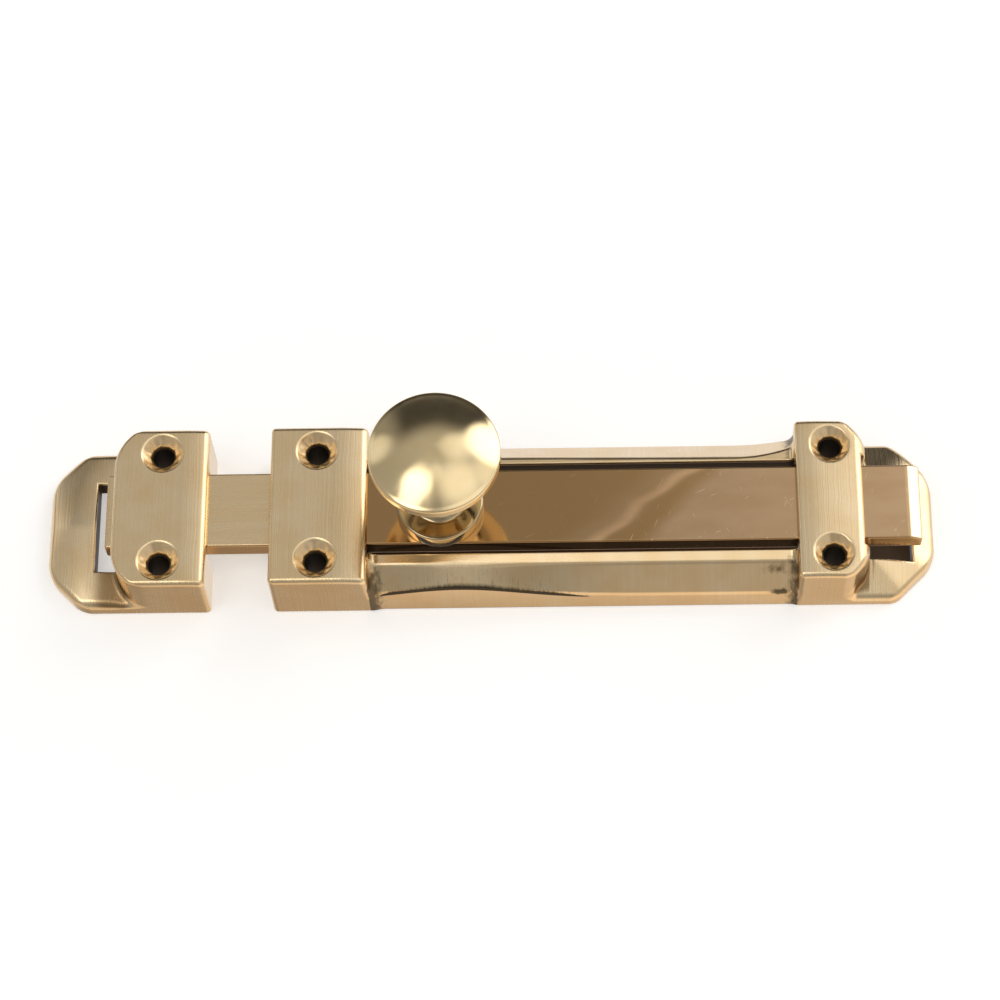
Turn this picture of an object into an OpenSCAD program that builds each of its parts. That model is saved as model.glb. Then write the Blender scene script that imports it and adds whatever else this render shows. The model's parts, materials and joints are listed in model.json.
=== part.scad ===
// Surface door bolt with a round knob and a separate keep, cast and turned in brass.
// It lies on its back: Z = 0 is the face that meets the door, and +X is the way the bolt retracts.
// The origin is the centre of the case's four screw holes, on that face.

/* [Case] */
// Width of the case and of the keep
case_w = 38.2; // [37.8:0.1:40]
// Length of the case
case_l = 148.5; // [148:0.1:152]
// Height of the case's two bridges above the back
bridge_h = 16.8; // [16.4:0.1:18]
// Length of the front bridge
front_bridge_l = 21.7; // [21:0.1:24]
// Length of the rear bridge
rear_bridge_l = 15.8; // [14.8:0.1:16]
// Distance from the case's front end to the rear bridge
rear_bridge_x = 117.3; // [117:0.1:117.6]
// Width of the open channel between the side rails
channel_w = 21.5; // [20.5:0.1:22.5]
// Height of a side rail at the channel's edge
rail_h = 13; // [12:0.1:13.4]
// Width of the flat land along the top of a rail
rail_land_w = 2.5; // [1:0.1:3]
// Height of a rail where its sloping face meets its side
rail_side_h = 5; // [4:0.1:7]
// Thickness of the cast walls
wall = 2.6; // [2:0.1:3]

/* [Screw holes] */
// Distance between the case's front and rear screw holes
screw_dx = 114.8; // [114.4:0.1:115.2]
// Distance across between the two screw holes of a bridge
screw_dy = 26.2; // [25.8:0.1:27]
// Distance from the case's front end to its first screw holes
screw_x = 10.4; // [9.5:0.1:11]
// Radius of a screw hole
screw_r = 2.4; // [2:0.1:2.4]
// Radius of a countersink at the surface
sink_r = 4.8; // [4.2:0.1:5]

/* [Rounded ends] */
// Height of the domed flanges under the bar
flange_h = 9; // [8:0.1:9]
// Height of the flanges at their outer edge
rim_h = 2.8; // [2:0.1:4]
// Size of the cut corners on the case's flange
tail_cut = 9; // [7:0.1:11]
// Size of the cut corners on the keep's flange
keep_cut = 7.8; // [7:0.1:10]

/* [Bolt bar] */
// Width of the bar
bar_w = 17.8; // [16:0.1:18]
// Thickness of the bar
bar_t = 4.8; // [4:0.1:4.8]
// Height of the bar's top face above the back
bar_top = 14; // [14:0.1:14.2]
// How far the bar stands out of the case's front end when it is shot
bar_throw = 36.9; // [35.5:0.1:37.5]
// Distance from the case's front end to the bar's rear end
bar_rear = 145; // [144:0.1:147]

/* [Knob] */
// Distance from the case's front end to the knob's axis
knob_x = 38; // [38:0.1:48]
// Radius of the knob's head
head_r = 14.4; // [12:0.1:16]
// Height from the bar to the underside of the head's rim
head_z = 26; // [22:0.1:30]
// Thickness of the head at its rim
head_rim = 2.6; // [2:0.1:4]
// Rise of the head's domed top
head_dome = 4; // [2:0.1:6]
// Radius of the neck at its waist
neck_r = 4.2; // [4:0.1:5]
// Radius of the knob's base
base_r = 9.7; // [8.5:0.1:9.8]
// Height of the knob's base
base_h = 3.8; // [3:0.1:5]
// Radius of the screw that holds the knob
knob_screw_r = 2; // [1.5:0.1:2.2]

/* [Keep] */
// Height of the keep's bridge
keep_h = 16.4; // [16:0.1:17]
// Gap between the case's front end and the keep
keep_gap = 14; // [13:0.1:14.5]
// Length of the keep's bridge
keep_bridge_l = 21.2; // [20.5:0.1:21.6]
// Length of the whole keep
keep_l = 37.1; // [36:0.1:40]
// Distance from the keep's rear end to its screw holes
keep_screw_x = 10.5; // [9:0.1:11]
// Width of the land between the keep's slot and its rounded end
keep_land = 10.8; // [10:0.1:11]

/* [Hidden] */

$fn = 64;
over = 1;
brass = [0.80, 0.67, 0.42];
pale_brass = [0.86, 0.76, 0.55];
steel = [0.55, 0.53, 0.50];

half_w = case_w / 2;
channel_half = channel_w / 2;
bar_z = bar_top - bar_t;
top_play = 0.5;
side_play = 0.7;
roof_z = bar_top + top_play;
tunnel_half = bar_w / 2 + side_play;

case_front = -screw_dx / 2 - screw_x;
case_rear = case_front + case_l;
rear_bridge = case_front + rear_bridge_x;
tail_x = rear_bridge + rear_bridge_l;
tail_land = 5.2;
keep_rear = case_front - keep_gap;
keep_front = keep_rear - keep_l;
// How far the keep's slot runs on under its bridge
slot_under = 1.5;

// How far each bridge's corners are cut back, along it and across it
front_cut = [0.8, 0.8];
rear_cut = [5, 5.5];
keep_bridge_cut = [5.6, 9];

// Where a rail's flat land meets its sloping outer face
rail_land_y = channel_half + rail_land_w;
// How far down from a rail's sloping face its hollow stays
rail_skin = 1.3 * wall;
// The dome's run across the width, towards the end, and at the cut corners
side_run = 0.85 * half_w;
corner_run = 11;
corner_out = 0.4;
keep_end_run = 9;
dome_steps = 7;
dome_turn = 60;
dome_reach = 1.4;

// The knob's screw: its reach into the knob, and the play round it
knob_screw_reach = 9;
screw_play = 0.05;
// The slot across the knob screw's head
drive_slot = 1;

// The knob's outline: its flat base ring, the coves up its neck and under its head
base_ring = 1.2;
foot_run = 1.8;
foot_rise = 2.6;
waist_rise = 6.5;
head_lip = 1.4;
head_edge = 0.6;
knob_steps = 12;

// Half a flange's section, from just outside its rim at 0 to a little past its full height at run
function dome(run) = [
    for (i = [-1 : dome_steps])
        let (t = dome_reach * i / dome_steps)
        [run * t, rim_h + (flange_h - rim_h) * sin(dome_turn * t) / sin(dome_turn)]
];

// A block whose edge along the Y axis falls away as the dome does
module domed_edge(run) {
    reach = case_l;
    profile = dome(run);
    outside = profile[0][0];
    top = profile[dome_steps + 1][1];
    rotate([90, 0, 0])
        linear_extrude(2 * reach, center = true)
            polygon(concat([[reach, -over], [outside, -over]], profile, [[reach, top]]));
}

// A domed D-shaped flange whose rounded end is at X = 0
module flange(l, cut, end_run) {
    intersection() {
        linear_extrude(flange_h)
            polygon([
                [l, -half_w], [l, half_w], [cut, half_w], [0, half_w - cut],
                [0, cut - half_w], [cut, -half_w]
            ]);
        domed_edge(end_run);
        domed_sides(cut);
    }
}

// The flange's two sides and its two cut corners
module domed_sides(cut) {
    intersection_for (side = [-1, 1]) {
        intersection() {
            translate([0, side * half_w, 0])
                rotate([0, 0, -90 * side])
                    domed_edge(side_run);
            translate([cut / 2, side * (half_w - cut / 2), 0])
                rotate([0, 0, -45 * side])
                    translate([-corner_out, 0, 0])
                        domed_edge(corner_run);
        }
    }
}

// A bridge in plan, with its corners at X = 0 cut back
module bridge(l, h, cut) {
    linear_extrude(h)
        polygon([
            [l, -half_w], [l, half_w], [cut.x, half_w], [cut.x / 3, half_w - cut.y / 2],
            [0, half_w - cut.y], [0, cut.y - half_w], [cut.x / 3, cut.y / 2 - half_w],
            [cut.x, -half_w]
        ]);
}

// A clear way along a bridge between the heights z_low and z_high
module tunnel(x, l, z_low, z_high) {
    translate([x, -tunnel_half, z_low])
        cube([l, 2 * tunnel_half, z_high - z_low]);
}

// The pair of countersunk screw holes through a bridge of height h
module screw_holes(x, h) {
    sink_depth = sink_r - screw_r;
    for (side = [-1, 1])
        translate([x, side * screw_dy / 2, 0]) {
            translate([0, 0, -over])
                cylinder(h = h + 2 * over, r = screw_r);
            translate([0, 0, h - sink_depth])
                cylinder(h = sink_depth, r1 = screw_r, r2 = sink_r);
            translate([0, 0, h])
                cylinder(h = over, r = sink_r);
        }
}

// One side rail: upright inside, a sloping face outside, and hollow from the back
module rail() {
    l = rear_bridge_x - front_bridge_l;
    slope = (rail_h - rail_side_h) / (half_w - rail_land_y);
    hollow_in = channel_half + wall;
    hollow_out = half_w - wall;
    hollow_top = rail_side_h + slope * (half_w - hollow_in) - rail_skin;
    translate([case_front + front_bridge_l, 0, 0])
        rotate([90, 0, 90])
            difference() {
                translate([0, 0, -over])
                    linear_extrude(l + 2 * over)
                        polygon([
                            [channel_half, 0], [channel_half, rail_h],
                            [rail_land_y, rail_h], [half_w, rail_side_h], [half_w, 0]
                        ]);
                translate([0, 0, wall])
                    linear_extrude(l - 2 * wall)
                        polygon([
                            [hollow_in, -over], [hollow_in, hollow_top],
                            [hollow_out, hollow_top - slope * (hollow_out - hollow_in)],
                            [hollow_out, -over]
                        ]);
            }
}

module case_body() {
    color(brass)
        difference() {
            union() {
                translate([case_front, 0, 0])
                    bridge(front_bridge_l, bridge_h, front_cut);
                translate([tail_x, 0, 0])
                    mirror([1, 0, 0])
                        bridge(rear_bridge_l, bridge_h, rear_cut);
                translate([case_rear, 0, 0])
                    mirror([1, 0, 0])
                        flange(case_rear - rear_bridge - wall, tail_cut, tail_land);
                rail();
                mirror([0, 1, 0])
                    rail();
            }
            // The front bridge keeps a web that carries the bar
            tunnel(case_front - over, front_bridge_l + 2 * over, flange_h, roof_z);
            tunnel(case_front - over, front_bridge_l + 2 * over, -over, flange_h - wall);
            tunnel(rear_bridge - over, rear_bridge_l + 2 * over, -over, roof_z);
            // The slot behind the rear bridge
            translate([tail_x - over, -channel_half, -over])
                cube([case_rear - tail_land - tail_x + over, channel_w, bridge_h]);
            for (x = [-screw_dx / 2, screw_dx / 2])
                screw_holes(x, bridge_h);
        }
}

module keep() {
    bridge_x = keep_rear - keep_bridge_l;
    slot_x = keep_front + keep_land;
    color(pale_brass)
        difference() {
            union() {
                translate([bridge_x, 0, 0])
                    bridge(keep_bridge_l, keep_h, keep_bridge_cut);
                translate([keep_front, 0, 0])
                    flange(keep_l - wall, keep_cut, keep_end_run);
            }
            tunnel(bridge_x - over, keep_bridge_l + 2 * over, -over, roof_z);
            // The slot in front of the bridge, open through to the back
            translate([slot_x, -channel_half, -over])
                cube([bridge_x - slot_x + slot_under, channel_w, bridge_h]);
            screw_holes(keep_rear - keep_screw_x, keep_h);
        }
}

module bolt_bar() {
    nose = case_front - bar_throw;
    l = bar_rear + bar_throw;
    color(brass)
        difference() {
            translate([nose, -bar_w / 2, bar_z])
                cube([l, bar_w, bar_t]);
            // Countersunk hole for the knob's screw
            translate([case_front + knob_x, 0, bar_z]) {
                translate([0, 0, -over])
                    cylinder(h = bar_t + 2 * over, r = knob_screw_r + screw_play);
                translate([0, 0, -over])
                    cylinder(
                        h = knob_screw_r + over, r1 = 2 * knob_screw_r + screw_play + over,
                        r2 = knob_screw_r + screw_play
                    );
            }
        }
}

// A round cove from [r0, z0] up and in to [r1, z1]
function cove(r0, z0, r1, z1) = [
    for (i = [0 : knob_steps])
        let (a = 90 * i / knob_steps)
        [r0 - (r0 - r1) * sin(a), z0 + (z1 - z0) * (1 - cos(a))]
];

// A turned knob: base, coved neck, flared underside and a domed head
module knob() {
    under = cove(head_r - head_lip, head_z, neck_r, base_h + waist_rise);
    dome_r = (head_r * head_r + head_dome * head_dome) / (2 * head_dome);
    top_z = head_z + head_rim + head_dome;
    color(pale_brass)
        translate([case_front + knob_x, 0, bar_top])
            difference() {
                rotate_extrude($fn = 96)
                    polygon(concat(
                        [[0, 0], [base_r, 0], [base_r, base_h], [base_r - base_ring, base_h]],
                        cove(neck_r + foot_run, base_h, neck_r, base_h + foot_rise),
                        [for (i = [knob_steps : -1 : 0]) under[i]],
                        [[head_r, head_z + head_edge], [head_r, head_z + head_rim]],
                        [for (i = [1 : knob_steps])
                            let (r = head_r * (1 - i / knob_steps))
                            [r, top_z - dome_r + sqrt(dome_r * dome_r - r * r)]]
                    ));
                translate([0, 0, -over])
                    cylinder(
                        h = knob_screw_reach + screw_play + over, r = knob_screw_r + screw_play
                    );
            }
}

// A countersunk machine screw, head down, with a plain shank for its thread
module knob_screw() {
    color(steel)
        translate([case_front + knob_x, 0, bar_z])
            difference() {
                union() {
                    cylinder(h = bar_t + knob_screw_reach, r = knob_screw_r);
                    cylinder(h = knob_screw_r, r1 = 2 * knob_screw_r, r2 = knob_screw_r);
                }
                translate([-base_r, -drive_slot / 2, -over])
                    cube([2 * base_r, drive_slot, drive_slot + over]);
            }
}

case_body();
keep();
bolt_bar();
knob();
knob_screw();
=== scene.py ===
"""The looks of a cast brass surface bolt with a round knob and a separate keep.

Every length inside the shape functions is in millimetres, along the frame's axes; meshes are
written in metres. A shape is a signed distance function: below 0 inside the metal, above 0 outside.
"""

import json
import math

import bpy
import numpy as np
from mathutils import Matrix, Vector


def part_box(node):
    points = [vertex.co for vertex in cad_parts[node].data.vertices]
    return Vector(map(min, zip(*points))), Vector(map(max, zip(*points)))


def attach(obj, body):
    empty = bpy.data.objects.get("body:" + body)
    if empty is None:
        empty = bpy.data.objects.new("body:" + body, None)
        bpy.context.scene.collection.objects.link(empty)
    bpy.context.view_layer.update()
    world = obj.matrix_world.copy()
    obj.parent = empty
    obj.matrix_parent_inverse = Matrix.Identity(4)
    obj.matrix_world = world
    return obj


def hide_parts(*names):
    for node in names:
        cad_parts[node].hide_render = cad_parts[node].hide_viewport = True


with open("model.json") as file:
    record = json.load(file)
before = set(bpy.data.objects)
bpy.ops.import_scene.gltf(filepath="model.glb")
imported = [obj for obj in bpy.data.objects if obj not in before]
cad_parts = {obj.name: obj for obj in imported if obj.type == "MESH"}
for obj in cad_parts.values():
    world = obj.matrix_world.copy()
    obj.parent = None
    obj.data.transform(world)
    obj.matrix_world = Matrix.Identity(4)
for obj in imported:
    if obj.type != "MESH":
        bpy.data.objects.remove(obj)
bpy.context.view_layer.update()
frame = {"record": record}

MM = 0.001


def box_mm(node):
    """A CAD node's lowest and highest corners, in millimetres."""
    low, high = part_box(node)
    return np.array(low) / MM, np.array(high) / MM


# Sizes that the frame gives
CASE_LOW, CASE_HIGH = box_mm("case_body")
KEEP_LOW, KEEP_HIGH = box_mm("keep")
BAR_LOW, BAR_HIGH = box_mm("bolt_bar")
KNOB_LOW, KNOB_HIGH = box_mm("knob")
SCREW_LOW, SCREW_HIGH = box_mm("knob_screw")
MOUNTS = {mount["name"]: mount for mount in frame["record"]["mounts"]}
SCREW_DX = MOUNTS["body_screws"]["dims"]["spacing_x_mm"]
SCREW_DY = MOUNTS["body_screws"]["dims"]["spacing_y_mm"]
SCREW_R = MOUNTS["body_screws"]["dims"]["hole_r_mm"]
CASE_HOLES = (-SCREW_DX / 2, SCREW_DX / 2)
KEEP_HOLES = (MOUNTS["keep_screws"]["pos_m"][0] / MM,)

# Sizes shared with the CAD source
HALF_W = CASE_HIGH[1]
BRIDGE_H = CASE_HIGH[2]
KEEP_H = KEEP_HIGH[2]
SINK_R = 4.6
WALL = 2.6
CHANNEL_HALF = 10.75
TUNNEL_HALF = 9.6
ROOF_Z = BAR_HIGH[2] + 0.5
FLANGE_H = 9.0
RIM_H = 2.8
RAIL_H = 13.0
FRONT_BRIDGE_END = CASE_LOW[0] + 21.7
REAR_BRIDGE_START = CASE_LOW[0] + 117.3
REAR_BRIDGE_END = REAR_BRIDGE_START + 15.8
TAIL_SLOT_END = CASE_HIGH[0] - 5.2
TAIL_CUT = 9.0
KEEP_CUT = 7.8
KEEP_BRIDGE_START = KEEP_HIGH[0] - 21.2
KEEP_SLOT_START = KEEP_LOW[0] + 10.8
KNOB_X = (KNOB_LOW[0] + KNOB_HIGH[0]) / 2
HEAD_R = (KNOB_HIGH[0] - KNOB_LOW[0]) / 2
RIM_THICK = 2.6
DOME_RISE = 4.0
BASE_H = 3.8
BORE_R = 2.05
FAR = 1000.0

# The height of the rim's lower edge on the knob's head
HEAD_Z = KNOB_HIGH[2] - DOME_RISE - RIM_THICK


# ---------------------------------------------------------------- shapes as distance functions


def cut_round(a, b, r):
    """The metal inside both a and b, with the edge between them rounded to radius r."""
    return np.minimum(np.maximum(a, b), -r) + np.hypot(np.maximum(a + r, 0), np.maximum(b + r, 0))


def join_round(a, b, r):
    """The metal inside a or b, with a fillet of radius r in the corner between them."""
    return -cut_round(-a, -b, r)


def carve(a, hollow, r):
    """a without hollow, with the hollow's mouth rounded to radius r."""
    return cut_round(a, -hollow, r)


def slope(z, s, base, rise):
    """Below a plane that starts at height base where s is 0 and climbs by rise for each step of s."""
    return (z - base - rise * s) / math.hypot(1, rise)


def block(x, y, z, x0, x1, half, z0, z1):
    """A box from x0 to x1, half wide on each side of the middle, from z0 to z1."""
    return np.maximum.reduce([x0 - x, x - x1, np.abs(y) - half, z0 - z, z - z1])


def from_hole(x, y, hole_x):
    """The distance from the nearer axis of the two screw holes at hole_x."""
    return np.hypot(x - hole_x, np.abs(y) - SCREW_DY / 2)


def screw_holes(f, x, y, z, hole_x, top):
    """Carves the two countersunk holes of a bridge, at hole_x, with the cutter's chatter in them."""
    chatter_mm, petals = 0.12, 9
    rho = from_hole(x, y, hole_x)
    depth = np.clip((top - z) / (SINK_R - SCREW_R), 0, 1)
    around = np.arctan2(np.abs(y) - SCREW_DY / 2, x - hole_x)
    chatter = chatter_mm * np.sin(math.pi * depth) ** 2 * np.cos(petals * around + hole_x)
    sink = (rho - SINK_R + top - z + chatter) / math.sqrt(2)
    return carve(f, join_round(rho - SCREW_R, sink, 0.5), 0.22)


def smooth_step(v, low, high):
    """0 at low, easing to 1 at high, which may be the lower of the two."""
    t = np.clip((v - low) / (high - low), 0, 1)
    return t * t * (3 - 2 * t)


def bell(v, middle, width):
    """1 at middle, falling away on both sides over about width."""
    return np.exp(-(((v - middle) / width) ** 2))


def rail_sizes(x, y):
    """The rail's land width, the land's fall, and the height where its facet meets its side.

    Both were ground by hand. At y above 0 the land widens and the facet runs out as they reach the
    rear bridge; at y below 0 the facet is shallow for a stretch behind the front bridge.
    """
    along = x - CASE_LOW[0]
    run_out = np.maximum(along - 104, 0) / 13
    upper_w = 1.6 - 0.6 * smooth_step(along, 40, 100) + 2.4 * run_out**2
    upper_h = 4.5 + 3.2 * run_out**2
    lower_w = 2.7
    lower_h = 4.4 + 4.4 * bell(along, 42, 20)
    land_fall = 0.03 + 0.21 * smooth_step(along, 32, 43) * (y < 0)
    return np.where(y < 0, lower_w, upper_w), land_fall, np.where(y < 0, lower_h, upper_h)


def rail_top(x, y, z):
    """The rails' sloping land and their ground outer facet, which runs out towards the rear bridge."""
    land_w, land_fall, side_h = rail_sizes(x, y)
    land_y = CHANNEL_HALF + land_w
    land_low = RAIL_H - land_fall * land_w
    drop, width = land_low - side_h, HALF_W - land_y
    facet = ((np.abs(y) - land_y) * drop + (z - land_low) * width) / np.hypot(drop, width)
    over_land = np.maximum(np.abs(y) - CHANNEL_HALF, 0)
    land = (z - RAIL_H + land_fall * over_land) / np.hypot(1, land_fall)
    return cut_round(facet, land, 0.35)


def flange_outline(from_end, y, cut):
    """The D-shaped outline of a flange, from_end being the distance in from its rounded end."""
    corner = (np.abs(y) - from_end - HALF_W + cut) / math.sqrt(2)
    return cut_round(-from_end, corner, 2.4)


def flange_dome(from_end, y, z, side_base, side_rise, end_base, end_rise):
    """The crowned top of a flange: it climbs from its sides and from its end."""
    f = slope(z, HALF_W - np.abs(y), side_base, side_rise)
    f = cut_round(f, slope(z, from_end, end_base, end_rise), 3.0)
    return cut_round(f, z - FLANGE_H, 1.2)


def case_outer(x, y, z):
    """The case's outside: two bridges, the rails between them and the domed tail flange."""
    side = np.abs(y) - HALF_W
    top = z - BRIDGE_H
    # The bridges' tops fall away in shallow curves towards their edges
    front_fall = 0.012 * np.maximum(x - FRONT_BRIDGE_END + 7, 0) ** 2
    front_lean, corner_slant, side_draft = 0.065, 1.1, 0.14
    leaning = (x - FRONT_BRIDGE_END - front_lean * (BRIDGE_H - z)) / math.hypot(1, front_lean)
    front = cut_round(cut_round(top + front_fall, leaning, 1.4), CASE_LOW[0] - x, 0.8)

    rear_fall = 0.005 * np.maximum(x - REAR_BRIDGE_START - 3, 0) ** 2
    rear_fall += 0.007 * np.maximum(REAR_BRIDGE_START + 6 - x, 0) ** 2
    rear = cut_round(top + rear_fall, x - REAR_BRIDGE_END, 2.6)
    corner = ((x - REAR_BRIDGE_END + 4.3) * corner_slant + side) / math.hypot(1, corner_slant)
    rear = cut_round(cut_round(rear, corner, 1.4), REAR_BRIDGE_START - x, 0.8)

    drafted = (side + side_draft * z) / math.hypot(1, side_draft)
    rails = cut_round(rail_top(x, y, z), drafted, 0.25)
    rails = np.maximum.reduce([rails, CASE_LOW[0] + 5 - x, x - REAR_BRIDGE_END + 4])

    from_end = CASE_HIGH[0] - x
    tail = flange_dome(from_end, y, z, RIM_H + 0.3, 0.45, 2.9, 0.5)
    tail = cut_round(tail, flange_outline(from_end, y, TAIL_CUT), 1.2)
    tail = np.maximum(tail, REAR_BRIDGE_START + 4 - x)

    f = join_round(rails, front, 2.4)
    f = join_round(f, rear, 1.7)
    f = join_round(f, tail, 1.2)
    return cut_round(f, side, 1.2)


def case_shape(x, y, z):
    """The case casting: its outside, the bar's way through it and the hollows open at the back."""
    front_end, rear_start, rear_end = FRONT_BRIDGE_END, REAR_BRIDGE_START, REAR_BRIDGE_END
    channel = block(x, y, z, front_end, rear_start, CHANNEL_HALF, -FAR, FAR)
    front_way = block(x, y, z, -FAR, front_end + 1, TUNNEL_HALF, FLANGE_H, ROOF_Z)
    front_hollow = block(x, y, z, -FAR, front_end + 1, TUNNEL_HALF, -FAR, FLANGE_H - WALL)
    rear_way = block(x, y, z, rear_start - 1, rear_end + 1, TUNNEL_HALF, -FAR, ROOF_Z)
    tail_slot = block(x, y, z, rear_end - 1, TAIL_SLOT_END, CHANNEL_HALF, -FAR, FAR)
    f = case_outer(x, y, z)
    for hollow in (channel, front_way, front_hollow, rear_way):
        f = carve(f, hollow, 0.4)
    f = carve(f, tail_slot, 0.5)
    pocket = np.maximum.reduce([
        CHANNEL_HALF + WALL - np.abs(y), np.abs(y) - HALF_W + WALL, rail_top(x, y, z) + WALL,
        FRONT_BRIDGE_END + WALL - x, x - REAR_BRIDGE_START + WALL,
    ])
    f = carve(f, pocket, 0.5)
    for hole_x in CASE_HOLES:
        f = screw_holes(f, x, y, z, hole_x, BRIDGE_H)
    return cut_round(f, -z, 0.3)


def keep_outer(x, y, z):
    """The keep's outside: a bridge whose outer corners curve away, on a domed D-shaped flange."""
    side = np.abs(y) - HALF_W
    fall = 0.012 * np.maximum(x - KEEP_HIGH[0] + 6, 0) ** 2
    bridge = cut_round(z - KEEP_H + fall, x - KEEP_HIGH[0], 1.4)
    curve_r = 10.9
    curve_x = np.minimum(x - KEEP_BRIDGE_START - curve_r, 0)
    curve_y = np.maximum(np.abs(y) - HALF_W + 9.3, 0)
    sweep = np.hypot(curve_x, curve_y) - curve_r
    bridge = cut_round(bridge, np.maximum(sweep, KEEP_BRIDGE_START - x), 0.8)

    from_end = x - KEEP_LOW[0]
    flange = flange_dome(from_end, y, z, 4.1, 0.16, 4.0, 0.42)
    flange = cut_round(flange, slope(z, from_end, 9.2, -0.24), 2.5)
    flange = cut_round(flange, flange_outline(from_end, y, KEEP_CUT), 1.5)
    flange = np.maximum(flange, x - KEEP_HIGH[0] + 5)

    f = join_round(bridge, flange, 1.6)
    edge_r = 1.2 + 0.6 * smooth_step(KEEP_BRIDGE_START + 3 - x, 0, 4)
    return cut_round(f, side, edge_r)


def keep_shape(x, y, z):
    """The keep casting: its outside, the bar's socket and the slot at its rear."""
    f = keep_outer(x, y, z)
    f = carve(f, block(x, y, z, KEEP_BRIDGE_START - 1, FAR, TUNNEL_HALF, -FAR, ROOF_Z), 0.4)
    slot_end = KEEP_BRIDGE_START + 1.5
    f = carve(f, block(x, y, z, KEEP_SLOT_START, slot_end, CHANNEL_HALF, -FAR, ROOF_Z), 0.5)
    for hole_x in KEEP_HOLES:
        f = screw_holes(f, x, y, z, hole_x, KEEP_H)
    return cut_round(f, -z, 0.3)


def bar_shape(x, y, z):
    """The flat bar, its edges eased, with a sloped rear end and the knob screw's countersink."""
    f = cut_round(z - BAR_HIGH[2], np.abs(y) - BAR_HIGH[1], 0.45)
    f = cut_round(f, slope(z, BAR_HIGH[0] - x, BAR_HIGH[2] - 1.2, 0.47), 0.3)
    f = cut_round(f, x - BAR_HIGH[0], 0.6)
    f = cut_round(f, BAR_LOW[0] - x, 0.6)
    f = cut_round(f, BAR_LOW[2] - z, 0.4)
    rho = np.hypot(x - KNOB_X, y)
    sink_r = 4.05
    sink = (rho - sink_r + z - BAR_LOW[2]) / math.sqrt(2)
    return carve(f, np.minimum(rho - BORE_R, sink), 0.15)


def screw_shape(x, y, z):
    """The knob's countersunk screw, head down, with a slot across its head."""
    rho = np.hypot(x - KNOB_X, y)
    up = z - SCREW_LOW[2]
    shank_r, head_r, slot_half, slot_depth = 2, 3.95, 0.5, 1
    shank = cut_round(rho - shank_r, z - SCREW_HIGH[2], 0.3)
    head = (rho - head_r + up) / math.sqrt(2)
    f = cut_round(np.minimum(shank, head), -up, 0.1)
    slot = np.maximum(np.abs(y) - slot_half, up - slot_depth)
    return carve(f, slot, 0.1)


# ---------------------------------------------------------------- meshing a distance function


TINY = 1e-9
# The furthest that a vertex moves in one round of drawing it onto the surface, in millimetres
LONGEST_MOVE = 0.2


def unit(vectors):
    """Each row of vectors at length 1."""
    return vectors / np.maximum(np.linalg.norm(vectors, axis=1, keepdims=True), TINY)


def grid_lines(stops, steps):
    """Grid lines from stop to stop, each stretch cut into equal steps no longer than its own step."""
    parts = [
        np.linspace(a, b, max(int(math.ceil((b - a) / step)), 1) + 1)[:-1]
        for a, b, step in zip(stops, stops[1:], steps)
    ]
    return np.append(np.concatenate(parts), stops[-1])


def gradient(shape, p, h=0.01):
    """The direction in which a distance function grows fastest, at each point."""
    g = np.empty_like(p)
    for axis in range(3):
        step = np.zeros(3)
        step[axis] = h
        g[:, axis] = (shape(*(p + step).T) - shape(*(p - step).T)) / (2 * h)
    return g


def surface_net(shape, xs, ys, zs, rounds=5):
    """Vertices on the surface of shape, one to each cell that it crosses, and quads between them."""
    lines = (xs, ys, zs)
    f = shape(*np.meshgrid(xs, ys, zs, indexing="ij"))
    inside = f < 0
    cells = tuple(n - 1 for n in f.shape)
    total = np.zeros(cells + (3,))
    count = np.zeros(cells)
    crossings = []
    for axis in range(3):
        low = tuple(slice(None, -1) if i == axis else slice(None) for i in range(3))
        high = tuple(slice(1, None) if i == axis else slice(None) for i in range(3))
        at = np.argwhere(inside[low] != inside[high])
        a = f[low][tuple(at.T)]
        b = f[high][tuple(at.T)]
        point = np.stack([lines[i][at[:, i]] for i in range(3)], axis=1)
        step = lines[axis][at[:, axis] + 1] - lines[axis][at[:, axis]]
        point[:, axis] += step * a / (a - b)
        u, v = [i for i in range(3) if i != axis]
        whole = np.ones(len(at), bool)
        around = []
        for du, dv in ((-1, -1), (0, -1), (0, 0), (-1, 0)):
            cell = at.copy()
            cell[:, u] += du
            cell[:, v] += dv
            whole &= (cell[:, u] >= 0) & (cell[:, u] < cells[u])
            whole &= (cell[:, v] >= 0) & (cell[:, v] < cells[v])
            around.append(cell)
        for cell in around:
            np.add.at(total, tuple(cell[whole].T), point[whole])
            np.add.at(count, tuple(cell[whole].T), 1)
        crossings.append((axis, [cell[whole] for cell in around], a[whole] < 0))
    used = count > 0
    index = np.full(cells, -1)
    index[used] = np.arange(used.sum())
    verts = total[used] / count[used][:, None]
    quads = []
    for axis, around, outward in crossings:
        quad = np.stack([index[tuple(cell.T)] for cell in around], axis=1)
        flip = outward if axis == 1 else ~outward
        quad[flip] = quad[flip][:, ::-1]
        quads.append(quad)
    for _ in range(rounds):
        g = gradient(shape, verts)
        steepness = np.maximum((g * g).sum(axis=1), 0.05)
        move = -(shape(*verts.T) / steepness)[:, None] * g
        length = np.linalg.norm(move, axis=1, keepdims=True)
        verts += move * np.minimum(1, LONGEST_MOVE / np.maximum(length, TINY))
    return verts, np.concatenate(quads)


def add_object(name, data):
    """A new object in the scene."""
    added = bpy.data.objects.new(name, data)
    bpy.context.collection.objects.link(added)
    return added


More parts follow.
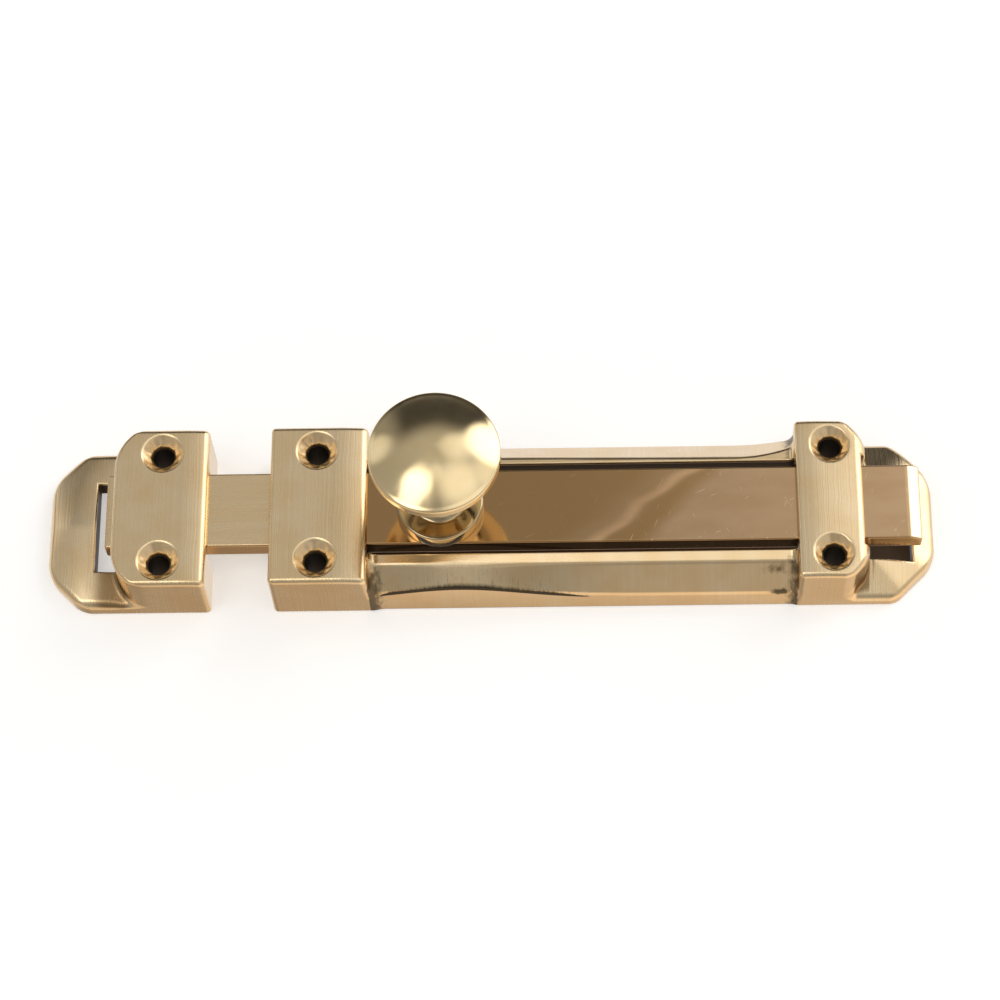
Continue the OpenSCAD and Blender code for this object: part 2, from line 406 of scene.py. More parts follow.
def mesh_object(name, verts, quads, normals, marks):
    """A smooth-shaded object from points in millimetres, with its own normals and named marks."""
    mesh = bpy.data.meshes.new(name)
    mesh.vertices.add(len(verts))
    mesh.vertices.foreach_set("co", (verts * MM).ravel())
    mesh.loops.add(quads.size)
    mesh.loops.foreach_set("vertex_index", quads.ravel())
    mesh.polygons.add(len(quads))
    mesh.polygons.foreach_set("loop_start", np.arange(0, quads.size, quads.shape[1]))
    mesh.update(calc_edges=True)
    mesh.validate()
    mesh.shade_smooth()
    for mark, values in (marks or {}).items():
        mesh.attributes.new(mark, "FLOAT", "POINT").data.foreach_set("value", values)
    mesh.normals_split_custom_set_from_vertices(normals)
    return add_object(name, mesh)


def cast_piece(name, shape, lines, marks=None):
    """A piece meshed from its distance function, shaded with the function's own normals."""
    verts, quads = surface_net(shape, *lines)
    normals = unit(gradient(shape, verts))
    return mesh_object(name, verts, quads, normals, marks(verts) if marks else None)


def turned_piece(name, outline, axis_x, z0, sides=160):
    """A lathe-turned piece: outline is a list of (radius, height) from the axis and back to it."""
    angles = [2 * math.pi * i / sides for i in range(sides)]
    rings = outline[1:-1]
    verts = [
        (axis_x + r * math.cos(a), r * math.sin(a), z0 + z) for r, z in rings for a in angles
    ]
    verts += [(axis_x, 0, z0 + z) for _, z in (outline[0], outline[-1])]
    first, last = len(verts) - 2, len(verts) - 1
    top = (len(rings) - 1) * sides
    faces = []
    for here in range(sides):
        there = (here + 1) % sides
        for low in range(0, top, sides):
            high = low + sides
            faces.append((low + here, low + there, high + there, high + here))
        faces += [(first, there, here), (last, top + here, top + there)]
    mesh = bpy.data.meshes.new(name)
    mesh.from_pydata([[v * MM for v in vert] for vert in verts], [], faces)
    mesh.validate()
    mesh.shade_smooth()
    return add_object(name, mesh)


def arc(cx, cz, r, a0, a1, steps):
    """Points on an arc about (cx, cz) from angle a0 to a1, in degrees from the outward radius."""
    return [
        (cx + r * math.cos(math.radians(a)), cz + r * math.sin(math.radians(a)))
        for a in np.linspace(a0, a1, steps + 1)
    ]


def cove(r0, z0, r1, z1, steps=16):
    """A hollow quarter curve from (r0, z0) in and up to (r1, z1)."""
    turn = np.linspace(0, math.pi / 2, steps + 1)
    return [(r1 + (r0 - r1) * (1 - math.sin(t)), z0 + (z1 - z0) * (1 - math.cos(t))) for t in turn]


def knob_outline():
    """The knob's turned profile: a drum base, a coved neck, a flared underside and a domed head."""
    base_r, foot_r, neck_r, lip = 9.7, 6.0, 4.2, 1.2
    foot_z, waist_z = BASE_H + 2.6, BASE_H + 6.5
    bore_h, chamfer = 9.05, 0.3
    low_round, high_round, rim_round, shoulder = 0.3, 0.45, 0.6, 0.7
    head_z = HEAD_Z - KNOB_LOW[2]
    top_z = KNOB_HIGH[2] - KNOB_LOW[2]
    # The dome is part of a sphere, with a small round shoulder between it and the rim
    dome_r = (HEAD_R**2 + DOME_RISE**2) / (2 * DOME_RISE)
    shoulder_r = HEAD_R - shoulder
    shoulder_z = top_z - dome_r + math.sqrt(dome_r**2 - shoulder_r**2)
    lean = math.degrees(math.asin(shoulder_r / dome_r))
    return (
        [(0, bore_h), (BORE_R, bore_h), (BORE_R, chamfer), (BORE_R + chamfer, 0)]
        + arc(base_r - low_round, low_round, low_round, -90, 0, 4)
        + arc(base_r - high_round, BASE_H - high_round, high_round, 0, 90, 8)
        + [(base_r - lip, BASE_H), (foot_r + 0.2, BASE_H)]
        + cove(foot_r, BASE_H, neck_r, foot_z)
        + cove(HEAD_R - 1.4, head_z, neck_r, waist_z)[::-1]
        + arc(HEAD_R - rim_round, head_z + 0.7, rim_round, -70, 0, 6)
        + [(HEAD_R, head_z + RIM_THICK - 0.3)]
        + arc(shoulder_r, shoulder_z - shoulder, shoulder, 10, 60, 6)
        + arc(0, top_z - dome_r, dome_r, 90 - lean, 90, 24)
    )


# ---------------------------------------------------------------- finishes


class Graph:
    """A node tree built step by step; its methods return sockets."""

    def __init__(self, tree, coordinates):
        self.nodes, self.links = tree.nodes, tree.links
        self.where = self.nodes.new("ShaderNodeTexCoord").outputs[coordinates]

    def put(self, socket, value):
        """Sets a socket to a number or colour, or links another socket to it."""
        if isinstance(value, bpy.types.NodeSocket):
            self.links.new(value, socket)
        else:
            socket.default_value = value

    def math(self, operation, a, b=0.0, c=0.0):
        node = self.nodes.new("ShaderNodeMath")
        node.operation = operation
        for socket, value in zip(node.inputs, (a, b, c)):
            self.put(socket, value)
        return node.outputs[0]

    def plus(self, a, b):
        return self.math("ADD", a, b)

    def minus(self, a, b):
        return self.math("SUBTRACT", a, b)

    def times(self, a, b):
        return self.math("MULTIPLY", a, b)

    def scaled(self, value, by, base):
        """value times by, plus base."""
        return self.math("MULTIPLY_ADD", value, by, base)

    def most(self, value, *others):
        """The largest of some numbers."""
        for other in others:
            value = self.math("MAXIMUM", value, other)
        return value

    def ramp(self, value, low, high, out_low=0.0, out_high=1.0):
        """value, from low to high, eased into out_low to out_high."""
        node = self.nodes.new("ShaderNodeMapRange")
        node.interpolation_type = "SMOOTHSTEP"
        for socket, v in zip(node.inputs, (value, low, high, out_low, out_high)):
            self.put(socket, v)
        return node.outputs[0]

    def hump(self, value, rise_from, rise_to, fall_from, fall_to):
        """1 from rise_to to fall_from, easing to 0 at rise_from and at fall_to."""
        fall = self.ramp(value, fall_from, fall_to, 1, 0)
        return self.times(self.ramp(value, rise_from, rise_to), fall)

    def axes(self):
        """The x, y and z of the coordinates, which are metres in a material."""
        node = self.nodes.new("ShaderNodeSeparateXYZ")
        self.put(node.inputs[0], self.where)
        return node.outputs

    def mix(self, amount, a, b):
        """Colour a where amount is 0 and b where it is 1."""
        node = self.nodes.new("ShaderNodeMix")
        node.data_type = "RGBA"
        self.put(node.inputs["Factor"], amount)
        # By name, the colour sockets can't be told from the node's number and vector sockets
        self.put(node.inputs[6], a)
        self.put(node.inputs[7], b)
        return node.outputs[2]

    def blend(self, amount, a, b):
        """Number a where amount is 0 and b where it is 1."""
        return self.scaled(self.minus(b, a), amount, a)


class Finish(Graph):
    """A procedural material."""

    def __init__(self, name, metallic=1.0):
        self.material = bpy.data.materials.new(name)
        self.material.use_nodes = True
        super().__init__(self.material.node_tree, "Object")
        self.shader = self.nodes["Principled BSDF"]
        self.shader.inputs["Metallic"].default_value = metallic

    def noise(self, size_mm, detail=3.0, rough=0.55, shift=0.7, turn=0.02):
        """Noise with a mean of 0.5: its grain is size_mm (x, y, z) long, turned on each axis."""
        mapping = self.nodes.new("ShaderNodeMapping")
        mapping.vector_type = "TEXTURE"
        self.put(mapping.inputs["Vector"], self.where)
        mapping.inputs["Scale"].default_value = [size * MM for size in size_mm]
        mapping.inputs["Rotation"].default_value = (turn, turn, turn)
        mapping.inputs["Location"].default_value = (shift * MM, shift * MM, shift * MM)
        node = self.nodes.new("ShaderNodeTexNoise")
        self.put(node.inputs["Vector"], mapping.outputs["Vector"])
        node.inputs["Scale"].default_value = 1.0
        node.inputs["Detail"].default_value = detail
        node.inputs["Roughness"].default_value = rough
        return node.outputs["Fac"]

    def lines(self, across, width_mm, detail=2.0):
        """Endless parallel brush lines: across is a socket that counts metres across them."""
        node = self.nodes.new("ShaderNodeTexNoise")
        node.noise_dimensions = "1D"
        self.put(node.inputs["W"], self.math("DIVIDE", across, width_mm * MM))
        node.inputs["Scale"].default_value = 1.0
        node.inputs["Detail"].default_value = detail
        return node.outputs["Fac"]

    def mark(self, name):
        """A named mark that the mesh carries at its points."""
        node = self.nodes.new("ShaderNodeAttribute")
        node.attribute_name = name
        return node.outputs["Fac"]

    def bump(self, height, depth_mm, normal=None):
        """The normal bent by height, where 1 stands depth_mm proud."""
        node = self.nodes.new("ShaderNodeBump")
        node.inputs["Strength"].default_value = 1.0
        node.inputs["Distance"].default_value = depth_mm * MM
        self.put(node.inputs["Height"], height)
        if normal is not None:
            self.put(node.inputs["Normal"], normal)
        return node.outputs["Normal"]

    def set(self, colour, rough, normal):
        self.put(self.shader.inputs["Base Color"], colour)
        self.put(self.shader.inputs["Roughness"], rough)
        self.put(self.shader.inputs["Normal"], normal)


PALE_BRASS = (0.95, 0.765, 0.495, 1)
WARM_BRASS = (0.91, 0.68, 0.39, 1)
GLEAMING_BRASS = (0.95, 0.6, 0.33, 1)
ROSE_BRASS = (0.62, 0.42, 0.245, 1)
BRONZE = (0.47, 0.285, 0.125, 1)
FOOT_SHADE_BRASS = (0.30, 0.18, 0.075, 1)
DULL_AND_SHADED_BRASS = (0.22, 0.13, 0.05, 1)
AS_CAST_AND_SHADE = (0.04, 0.026, 0.013, 1)
RESIDUE_AND_SHADE = (0.022, 0.021, 0.014, 1)
KNOB_PALE = (0.95, 0.77, 0.465, 1)
KNOB_WARM = (0.92, 0.735, 0.42, 1)
KNOB_NECK_SHADE = (0.36, 0.29, 0.19, 1)
STEEL = (0.56, 0.55, 0.53, 1)
DARK_STEEL = (0.42, 0.41, 0.4, 1)
PAPER = (0.88, 0.88, 0.88, 1)
PAPER_GRAIN = (0.86, 0.86, 0.86, 1)
SHADED_PAPER = (0.16, 0.12, 0.09, 1)
WHITE = (1, 1, 1, 1)


def rail_residue_and_shade(fin):
    """Black polishing residue in lines along the rails' facets, and painted shade mottled with residue
    in the corners at the bridges and in patches by the rear one.
    """
    x, _, _ = fin.axes()
    along = fin.scaled(x, 1 / MM, -CASE_LOW[0])
    tips = fin.minus(fin.noise((0.5, 2.5, 2.5), 4.0, 0.7, 3.0), 0.5)
    mottle = fin.minus(fin.noise((0.8, 1.6, 1.6), 4.0, 0.6, 13.0), 0.5)
    # The line under the shallow stretch of the near facet, with hairs that rise from it
    reach = fin.hump(along, 23, 27, 62, 74)
    rise = fin.scaled(tips, -0.9, fin.mark("rise"))
    above = fin.math("DIVIDE", rise, fin.most(fin.times(reach, 1.25), 0.05))
    hairs = fin.times(fin.ramp(tips, 0.02, 0.2), fin.ramp(above, 0.9, 3.5, 0.45, 0))
    line = fin.most(fin.ramp(above, 0.7, 1.3, 1, 0), hairs)
    line = fin.times(line, fin.ramp(fin.mark("rise"), -0.25, -0.05))
    line = fin.times(line, fin.ramp(reach, 0.05, 0.3))
    # The fainter line along the far rail's land
    crest = fin.scaled(tips, 0.3, fin.mark("crest"))
    upper = fin.ramp(fin.math("ABSOLUTE", fin.minus(crest, 0.15)), 0.1, 0.4, 1, 0)
    upper = fin.times(upper, fin.ramp(along, 98, 110, 0.6, 0))
    # Painted shade, mottled with residue, in the corners at the bridges and in patches by the rear one
    shade_and_residue = fin.scaled(mottle, 0.9, fin.mark("shade_and_residue"))
    shade_and_residue = fin.times(fin.ramp(shade_and_residue, 0.2, 0.9), fin.ramp(fin.mark("shade_and_residue"), 0.05, 0.3, 0, 0.9))
    return fin.most(line, upper, shade_and_residue)


def cast_brass(name, grain, residue=False):
    """Satin brass, buffed by hand: grain is the width of the brush marks in millimetres."""
    fin = Finish(name)
    x, y, z = fin.axes()
    cloud = fin.noise((9, 9, 9), 2.0)
    wander = fin.times(fin.noise((11, 11, 11), 1.0, 0.5, 23.0), 1.2 * MM)
    crosswise = fin.plus(x, wander)
    brush = fin.lines(crosswise, grain)
    wide_brush = fin.lines(crosswise, 3.1 * grain)
    if residue:
        # The rails' lands were brushed the other way, along the bolt
        lengthwise = fin.plus(fin.scaled(z, 0.8, y), fin.times(wander, 0.5))
        brush = fin.blend(fin.mark("land"), brush, fin.lines(lengthwise, 0.3))
        wide_brush = fin.blend(fin.mark("land"), wide_brush, fin.lines(lengthwise, 0.9))
    pits = fin.noise((0.5, 0.5, 0.5), 2.0, 0.5, 5.0)
    inner = fin.mark("inner")
    sink = fin.mark("sink")
    calm = fin.scaled(sink, -0.9, 1.0)
    if residue:
        calm = fin.times(calm, fin.scaled(fin.mark("rail"), -0.45, 1.0))
    ragged = fin.times(fin.minus(wide_brush, 0.5), fin.times(calm, 0.5))
    cavity = fin.ramp(fin.plus(ragged, fin.mark("cavity")), 0.10, 0.50)
    colour = fin.mix(fin.ramp(cloud, 0.3, 0.7), PALE_BRASS, WARM_BRASS)
    colour = fin.mix(fin.ramp(wide_brush, 0.25, 0.75, 0, 0.35), colour, WARM_BRASS)
    # Painted shade with polish residue: corners and hollows are darkened by how closed in they are
    colour = fin.mix(fin.times(cavity, 0.8), colour, DULL_AND_SHADED_BRASS)
    # Painted shade: the foot of a bridge is painted brown, mottled by the cloud
    foot_shade = fin.scaled(fin.minus(cloud, 0.5), 0.5, fin.mark("foot"))
    colour = fin.mix(fin.ramp(foot_shade, 0.1, 0.9, 0, 0.85), colour, FOOT_SHADE_BRASS)
    rough = fin.scaled(brush, 0.16, 0.18)
    rough = fin.scaled(cavity, 0.12, rough)
    rough = fin.scaled(sink, 0.05, rough)
    if residue:
        # Residue lines, and painted shade in the corners, darken the colour
        residue_and_shade = rail_residue_and_shade(fin)
        colour = fin.mix(fin.times(residue_and_shade, 0.95), colour, RESIDUE_AND_SHADE)
        rough = fin.scaled(residue_and_shade, 0.2, rough)
        rough = fin.scaled(fin.mark("rail"), -0.04, rough)
    # The walls of the hollows and screw holes are unpolished metal, painted near black as shade
    colour = fin.mix(inner, colour, AS_CAST_AND_SHADE)
    rough = fin.scaled(inner, 0.3, rough)
    brushed = fin.bump(fin.times(fin.scaled(wide_brush, 1.3, brush), calm), 0.014)
    fin.set(colour, rough, fin.bump(fin.times(pits, calm), 0.003, brushed))
    return fin.material


def bar_brass(name):
    """Drawn brass bar: brushed lengthwise at the nose, mirror-buffed behind the front bridge."""
    fin = Finish(name)
    x, y, _ = fin.axes()
    buffed = fin.mark("buffed")
    flank = fin.mark("flank")
    cloud = fin.noise((14, 5, 5), 2.0)
    brush = fin.noise((30, 0.22, 0.22), 3.0, 0.65)
    drawn = fin.noise((60, 0.9, 0.9), 3.0, 0.6, 20.0)
    # Painted reflection that crosses the bar on the slant, darker before it and paler behind, with a
    # paler stripe and a gleaming streak
    wobble = fin.minus(fin.noise((16, 7, 7), 1.0, 0.4, 9.0), 0.5)
    across = fin.scaled(wobble, 9 * MM, fin.scaled(y, -1.28, x))
    upright = fin.scaled(wobble, 7 * MM, fin.scaled(y, -0.8, x))
    sweep = fin.ramp(upright, 21 * MM, 28 * MM)
    reflection_band = fin.hump(across, 3 * MM, 15.5 * MM, 16 * MM, 20 * MM)
    reflection_streak = fin.hump(across, 12 * MM, 16 * MM, 16 * MM, 18.5 * MM)
    nicks = [
        fin.ramp(fin.noise((0.2, 4.5, 4.5), 1.0, 0.5, shift, turn), 0.73, 0.80)
        for shift, turn in ((7.0, 0.5), (19.0, -1.1), (31.0, -0.4))
    ]
    scratch = fin.times(fin.most(*nicks), fin.ramp(across, 8 * MM, 23 * MM, 0.25, 1.0))
    # Painted reflection: the buffed part's colour takes the slanted sweep, stripe and streak
    mirror = fin.mix(sweep, BRONZE, ROSE_BRASS)
    mirror = fin.mix(fin.times(reflection_band, 0.55), mirror, ROSE_BRASS)
    mirror = fin.mix(fin.times(reflection_streak, 0.65), mirror, GLEAMING_BRASS)
    mirror = fin.mix(fin.times(scratch, 0.7), mirror, PALE_BRASS)
    mirror = fin.mix(fin.ramp(cloud, 0.3, 0.7, 0, 0.3), mirror, BRONZE)
    brushed = fin.mix(fin.ramp(drawn, 0.3, 0.7, 0.4, 1), PALE_BRASS, WARM_BRASS)
    colour = fin.mix(buffed, brushed, mirror)
    colour = fin.mix(fin.mark("rear"), colour, PALE_BRASS)
    colour = fin.mix(fin.times(flank, 0.75), colour, BRONZE)
    smooth = fin.scaled(scratch, 0.15, fin.scaled(sweep, 0.08, 0.07))
    rough = fin.blend(buffed, fin.scaled(brush, 0.14, 0.2), smooth)
    height = fin.times(brush, fin.scaled(buffed, -0.85, 1.0))
    height = fin.times(height, fin.scaled(flank, -0.9, 1.0))
    height = fin.scaled(scratch, -0.2, height)
    fin.set(colour, rough, fin.bump(height, 0.012))
    return fin.material


def polished_brass(name):
    """Turned and polished brass, whose fine turning marks fan its highlights out from the axis."""
    fin = Finish(name)
    x, y, z = fin.axes()
    cloud = fin.noise((6, 6, 6), 2.0)
    smear = fin.noise((3, 3, 3), 3.0, 0.6, 2.0)
    from_axis = fin.minus(x, KNOB_X * MM)
    radius = fin.math("SQRT", fin.scaled(from_axis, from_axis, fin.times(y, y)))
    turned = fin.lines(radius, 0.31)
    dome_z = KNOB_HIGH[2] - DOME_RISE
    dome = fin.ramp(z, (dome_z - 1) * MM, (dome_z - 0.2) * MM)
    # Painted shade: the neck, between the base and the head, is painted dark where the head shades it
    base_z = KNOB_LOW[2] + BASE_H
    neck = fin.hump(
        z, (base_z - 0.5) * MM, (base_z - 0.1) * MM, (HEAD_Z - 0.8) * MM, HEAD_Z * MM
    )
    colour = fin.mix(fin.ramp(cloud, 0.3, 0.7), KNOB_PALE, KNOB_WARM)
    colour = fin.mix(fin.times(neck, 0.75), colour, KNOB_NECK_SHADE)
    rough = fin.scaled(smear, 0.08, 0.04)
    rough = fin.scaled(dome, 0.075, rough)
    tangent = fin.nodes.new("ShaderNodeTangent")
    tangent.direction_type = "RADIAL"
    tangent.axis = "Z"
    fin.put(fin.shader.inputs["Tangent"], tangent.outputs["Tangent"])
    fin.shader.inputs["Anisotropic"].default_value = 0.8
    fin.shader.inputs["Anisotropic Rotation"].default_value = 0.25
    fin.set(colour, rough, fin.bump(turned, 0.002))
    return fin.material


def screw_steel(name):
    """Dull zinc-plated steel."""
    fin = Finish(name)
    grain = fin.noise((0.6, 0.6, 0.6), 3.0)
    colour = fin.mix(grain, STEEL, DARK_STEEL)
    fin.set(colour, fin.scaled(grain, 0.25, 0.25), fin.bump(grain, 0.01))
    return fin.material


# ---------------------------------------------------------------- the pieces


# A distance in millimetres that keeps a line of residue off a point
NOWHERE = 9


def cavity_mark(shape, verts, hole_xs):
    """How closed in each point is, from 0 in the open to 1 deep in a corner, less in countersinks."""
    outward = unit(gradient(shape, verts))
    reaches = (0.8, 1.8, 3.6)
    shut = np.zeros(len(verts))
    for reach in reaches:
        shut += np.clip(1 - shape(*(verts + reach * outward).T) / reach, 0, 1)
    return shut / len(reaches) * (1 - 0.75 * sink_mark(verts, hole_xs))


def sink_mark(verts, hole_xs):
    """1 in the countersinks and their holes."""
    x, y, _ = verts.T
    sink = np.zeros(len(verts))
    for hole_x in hole_xs:
        sink = np.maximum(sink, smooth_step(SINK_R + 0.4 - from_hole(x, y, hole_x), 0, 0.4))
    return sink


def inner_mark(outer, verts, hole_xs, top):
    """1 on the walls of the hollows and the screw holes, 0 outside and in the countersinks."""
    x, y, z = verts.T
    inner = smooth_step(-outer(x, y, z), 0.25, 0.9)
    below_sink = smooth_step(top - SINK_R + SCREW_R + 0.1 - z, 0, 1.2)
    for hole_x in hole_xs:
        near_hole = from_hole(x, y, hole_x) < SINK_R + 0.3
        inner = np.where(near_hole, np.minimum(inner, below_sink), inner)
    return inner


def case_marks(verts):
    """Cavities, hollows, painted shade at the rear bridge's foot, where polishing residue stays along
    facet edges, and painted shade mottled with residue in the corners.
    """
    x, y, z = verts.T
    along = x - CASE_LOW[0]
    land_w, _, side_h = rail_sizes(x, y)
    between = (x > FRONT_BRIDGE_END) & (x < REAR_BRIDGE_START)
    on_facet = between & (np.abs(y) > CHANNEL_HALF + 0.4)
    on_land = smooth_step(CHANNEL_HALF + land_w + 0.3 - np.abs(y), 0, 0.3)
    # Painted shade mottled with residue in the corners at both bridges, and on the near facet by the
    # rear one
    front = bell(along, 22.5, 2.6) * smooth_step(z, 15, 11)
    rear = bell(along, 117, 2.2) * smooth_step(z, 14, 12)
    spot = bell(along, 113.5, 2.4) * bell(z, side_h + 1.3, 0.9)
    smudge = bell(along, 113, 4.5) * bell(z, 10.8, 1.6)
    patches = np.maximum(1.1 * spot, 0.6 * smudge) * (y < 0)
    # Painted shade: the cut face of the rear bridge's lower corner is painted brown
    foot = smooth_step(x, REAR_BRIDGE_END - 4, REAR_BRIDGE_END - 3)
    foot *= smooth_step(x, REAR_BRIDGE_END + 0.6, REAR_BRIDGE_END + 0.3)
    foot *= smooth_step(np.abs(y), HALF_W - 0.6, HALF_W - 1.2)
    foot *= smooth_step(z, 3.2, 4.5) * smooth_step(z, 14.8, 13.6)
    return {
        "cavity": cavity_mark(case_shape, verts, CASE_HOLES),
        "inner": inner_mark(case_outer, verts, CASE_HOLES, BRIDGE_H),
        "sink": sink_mark(verts, CASE_HOLES),
        "foot": foot * (y < 0),
        "shade_and_residue": np.maximum.reduce([0.9 * front, 0.8 * rear, patches]) * on_facet,
        "rise": np.where(y < 0, z - side_h, NOWHERE),
        "crest": np.where((y > 0) & on_facet, y - CHANNEL_HALF - land_w, NOWHERE),
        "rail": on_facet * 1.0,
        "land": (between & (z > RAIL_H - 1.5)) * on_land,
    }


def keep_marks(verts):
    """Cavities, hollows, and painted shade, brown, on the flange at the bridge's foot."""
    x, y, z = verts.T
    foot = smooth_step(x, KEEP_SLOT_START - 3, KEEP_SLOT_START + 4)
    foot *= smooth_step(x, KEEP_BRIDGE_START + 4, KEEP_BRIDGE_START + 1)
    foot *= smooth_step(-y, 9, 11.5) * smooth_step(z, 2.6, 3.6) * smooth_step(z, 9.5, 8)
    return {
        "cavity": cavity_mark(keep_shape, verts, KEEP_HOLES),
        "inner": inner_mark(keep_outer, verts, KEEP_HOLES, KEEP_H),
        "sink": sink_mark(verts, KEEP_HOLES),
        "foot": foot,
    }


def bar_marks(verts):
    """Where the bar is buffed, its unbuffed flanks and its sloped rear end."""
    x, y, _ = verts.T
    sides = smooth_step(np.abs(y), BAR_HIGH[1] - 0.4, BAR_HIGH[1] - 0.1)
    nose = smooth_step(x, BAR_LOW[0] + 0.5, BAR_LOW[0] + 0.1)
    return {
        "buffed": smooth_step(x, CASE_LOW[0] + 1, CASE_LOW[0] + 6),
        "flank": np.maximum(sides, nose),
        "rear": smooth_step(x, BAR_HIGH[0] - 2.9, BAR_HIGH[0] - 2.5),
    }


def finish_piece(piece, body, node, material):
    """Puts a piece in place of its CAD node, on its body, in its finish."""
    piece.data.materials.append(material)
    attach(piece, body)
    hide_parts(node)


# The steps of the castings' grids and the grids' margin round each piece, in millimetres
FINE = 0.4
SINK_FINE = 0.29
MARGIN = 0.8


def sink_zone(hole):
    """The stretch of a grid, about a countersink at hole, that has finer steps."""
    return [hole - SINK_R - 0.4, hole + SINK_R + 0.4]


fine_y = grid_lines(
    [-HALF_W - MARGIN, *sink_zone(-SCREW_DY / 2), *sink_zone(SCREW_DY / 2), HALF_W + MARGIN],
    [FINE, SINK_FINE, 0.8, SINK_FINE, FINE],
)
case_lines = (
    # The rails change little along their length, so the stretch between the bridges is coarser
    grid_lines(
        [
            CASE_LOW[0] - MARGIN, *sink_zone(CASE_HOLES[0]), CASE_LOW[0] + 27,
            CASE_LOW[0] + 112, *sink_zone(CASE_HOLES[1]), CASE_HIGH[0] + MARGIN,
        ],
        [FINE, SINK_FINE, FINE, 1.5, FINE, SINK_FINE, FINE],
    ),
    fine_y,
    grid_lines([-MARGIN, BRIDGE_H - 3, BRIDGE_H + MARGIN], [FINE, SINK_FINE]),
)
keep_lines = (
    grid_lines(
        [KEEP_LOW[0] - MARGIN, *sink_zone(KEEP_HOLES[0]), KEEP_HIGH[0] + MARGIN],
        [FINE, SINK_FINE, FINE],
    ),
    fine_y,
    grid_lines([-MARGIN, KEEP_H - 3, KEEP_H + MARGIN], [FINE, SINK_FINE]),
)
bar_lines = (
    grid_lines(
        [
            BAR_LOW[0] - MARGIN, BAR_LOW[0] + 2, KNOB_X - 6,
            KNOB_X + 6, BAR_HIGH[0] - 5, BAR_HIGH[0] + MARGIN,
        ],
        [0.3, 2.0, 0.4, 2.0, 0.3],
    ),
    grid_lines(
        [BAR_LOW[1] - MARGIN, BAR_LOW[1] + 1.5, -6, 6, BAR_HIGH[1] - 1.5, BAR_HIGH[1] + MARGIN],
        [0.25, 0.8, 0.4, 0.8, 0.25],
    ),
    grid_lines([BAR_LOW[2] - MARGIN, BAR_HIGH[2] + MARGIN], [0.25]),
)
screw_lines = (
    grid_lines([KNOB_X - 5, KNOB_X + 5], [0.25]),
    grid_lines([-5, 5], [0.25]),
    grid_lines([SCREW_LOW[2] - MARGIN, SCREW_LOW[2] + 3, SCREW_HIGH[2] + MARGIN], [0.2, 0.5]),
)

case = cast_piece("case_casting", case_shape, case_lines, case_marks)
keep = cast_piece("keep_casting", keep_shape, keep_lines, keep_marks)
bar = cast_piece("bolt_bar_drawn", bar_shape, bar_lines, bar_marks)
screw = cast_piece("knob_screw_turned", screw_shape, screw_lines)
knob = turned_piece("knob_turned", knob_outline(), KNOB_X, KNOB_LOW[2])

finish_piece(case, "fixed_castings", "case_body", cast_brass("case_brass", 0.3, True))
finish_piece(keep, "fixed_castings", "keep", cast_brass("keep_brass", 0.34))
finish_piece(bar, "bolt", "bolt_bar", bar_brass("bar_brass"))
finish_piece(knob, "bolt", "knob", polished_brass("knob_brass"))
finish_piece(screw, "bolt", "knob_screw", screw_steel("screw_metal"))

# ---------------------------------------------------------------- floor, light and camera


def make_floor():
    """A sheet of pale paper, with a painted shadow under the case's channel and slot, where it is dark
    and does not glow.
    """
    below_zero, glow = 0.0002, 0.42
    bpy.ops.mesh.primitive_plane_add(size=20, location=(0, 0, -below_zero))
    floor = bpy.context.object
    floor.name = "floor"
    fin = Finish("floor_paper", 0.0)
    x, y, _ = fin.axes()
    grain = fin.noise((40, 40, 40), 2.0)
    # Painted shadow: under the case's channel and slot, where clear is 0, the paper is painted dark
    # and its glow is off
    beside = fin.ramp(fin.math("ABSOLUTE", y), CHANNEL_HALF * MM, (CHANNEL_HALF + 3) * MM)
    before = fin.ramp(x, CASE_LOW[0] * MM, (CASE_LOW[0] + 4) * MM, 1, 0)
    behind = fin.ramp(x, TAIL_SLOT_END * MM, (TAIL_SLOT_END + 2) * MM)
    clear = fin.most(beside, before, behind)
    colour = fin.mix(clear, SHADED_PAPER, fin.mix(grain, PAPER, PAPER_GRAIN))
    fin.set(colour, 0.9, fin.bump(grain, 0.001))
    fin.shader.inputs["Emission Color"].default_value = WHITE
    fin.put(fin.shader.inputs["Emission Strength"], fin.times(clear, glow))
    floor.data.materials.append(fin.material)
    floor.visible_glossy = False


# The studio's lamps: the way to each, the half-angles in degrees of its even core and of its whole
# spread, and its radiance. The last is a stretch of dim wall, and the fifth a gap between lamps.
LAMPS = (
    ((-0.75, 0.45, 0.50), 7, 15, 0.80),
    ((0.28, 0.40, 0.87), 4, 17, 0.95),
    ((0.36, -0.16, 0.92), 9, 24, 1.04),
    ((0.00, -0.02, 1.00), 3, 9, 0.98),
    ((0.00, -0.51, 0.86), 3, 7, 0.25),
    ((-0.30, -0.17, 0.94), 9, 17, 2.3),
    ((-0.40, -0.36, 0.84), 6, 13, 2.1),
    ((0.90, 0.42, 0.10), 8, 20, 1.5),
    ((0.72, 0.08, 0.69), 6, 16, 0.95),
    ((0.67, 0.50, 0.55), 13, 22, 2.4),
    ((0.00, -0.92, 0.39), 6, 32, 0.31),
)
LAMPLIGHT = (1, 0.975, 0.94, 1)
TABLE_NEAR = (1, 0.82, 0.66, 1)
TABLE_FAR = (1, 0.98, 1, 1)


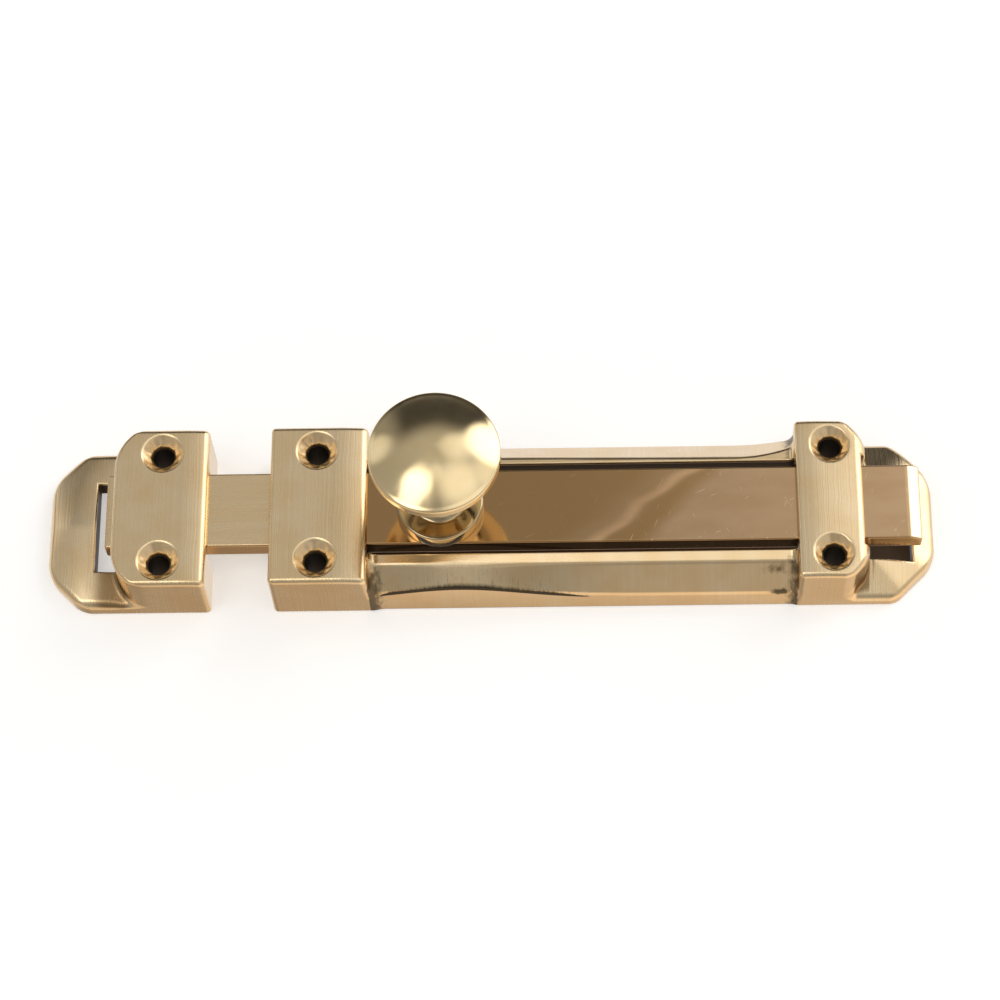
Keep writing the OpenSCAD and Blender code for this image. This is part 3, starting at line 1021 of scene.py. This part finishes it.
def make_world():
    """A plain studio room: soft lamps round a dim ceiling, and a pale table below."""
    world = bpy.data.worlds.new("studio")
    world.use_nodes = True
    bpy.context.scene.world = world
    room = Graph(world.node_tree, "Generated")
    x, y, z = room.axes()
    # The ceiling is dimmer low down at the back, less so towards the keep's end
    low = room.hump(z, 0.00, 0.12, 0.62, 0.84)
    low = room.times(low, room.ramp(x, -0.62, -0.36, 0.3, 1))
    dimming = room.times(low, room.ramp(y, 0.1, 0.6, 0, -0.90))
    ceiling = room.times(room.scaled(x, 0.12, 0.47), room.plus(dimming, 1.0))
    near = room.plus(room.ramp(z, -0.90, -0.70, 0, 0.38), room.ramp(x, -0.3, 0.3, 0.30, 0.70))
    behind = room.ramp(y, -0.25, 0.25)
    table = room.blend(behind, near, 0.86)
    above = room.ramp(z, -0.15, 0.12)
    light = room.blend(above, table, ceiling)
    for way, core, spread, radiance in LAMPS:
        dot = room.nodes.new("ShaderNodeVectorMath")
        dot.operation = "DOT_PRODUCT"
        room.put(dot.inputs[0], room.where)
        dot.inputs[1].default_value = Vector(way).normalized()
        rim, middle = math.cos(math.radians(spread)), math.cos(math.radians(core))
        light = room.blend(room.ramp(dot.outputs["Value"], rim, middle), light, radiance)
    background = room.nodes["Background"]
    room.put(background.inputs["Strength"], light)
    table_colour = room.mix(behind, TABLE_NEAR, TABLE_FAR)
    room.put(background.inputs["Color"], room.mix(above, table_colour, LAMPLIGHT))


def make_camera():
    """The photo's view, from 729 mm away and about 65 degrees up."""
    distance = 0.7287
    azimuth, elevation, roll = math.radians(3.979), math.radians(65.532), math.radians(-4.389)
    target = Vector((CASE_LOW[0] + 50.90, 7.86, 0)) * MM
    back = Vector((
        math.sin(azimuth) * math.cos(elevation),
        -math.cos(azimuth) * math.cos(elevation),
        math.sin(elevation),
    ))
    right = Vector((math.cos(azimuth), math.sin(azimuth), 0))
    up = back.cross(right)
    turned_right = right * math.cos(roll) + up * math.sin(roll)
    turned_up = up * math.cos(roll) - right * math.sin(roll)
    data = bpy.data.cameras.new("camera")
    data.sensor_width = 36
    data.lens = 115.03
    data.clip_start, data.clip_end = 0.01, 50
    camera = add_object("camera", data)
    camera.location = target + back * distance
    camera.rotation_mode = "QUATERNION"
    turn = Matrix((turned_right, turned_up, back)).transposed()
    camera.rotation_quaternion = turn.to_quaternion()
    bpy.context.scene.camera = camera


make_floor()
make_world()
make_camera()
bpy.context.scene.view_settings.view_transform = "Standard"
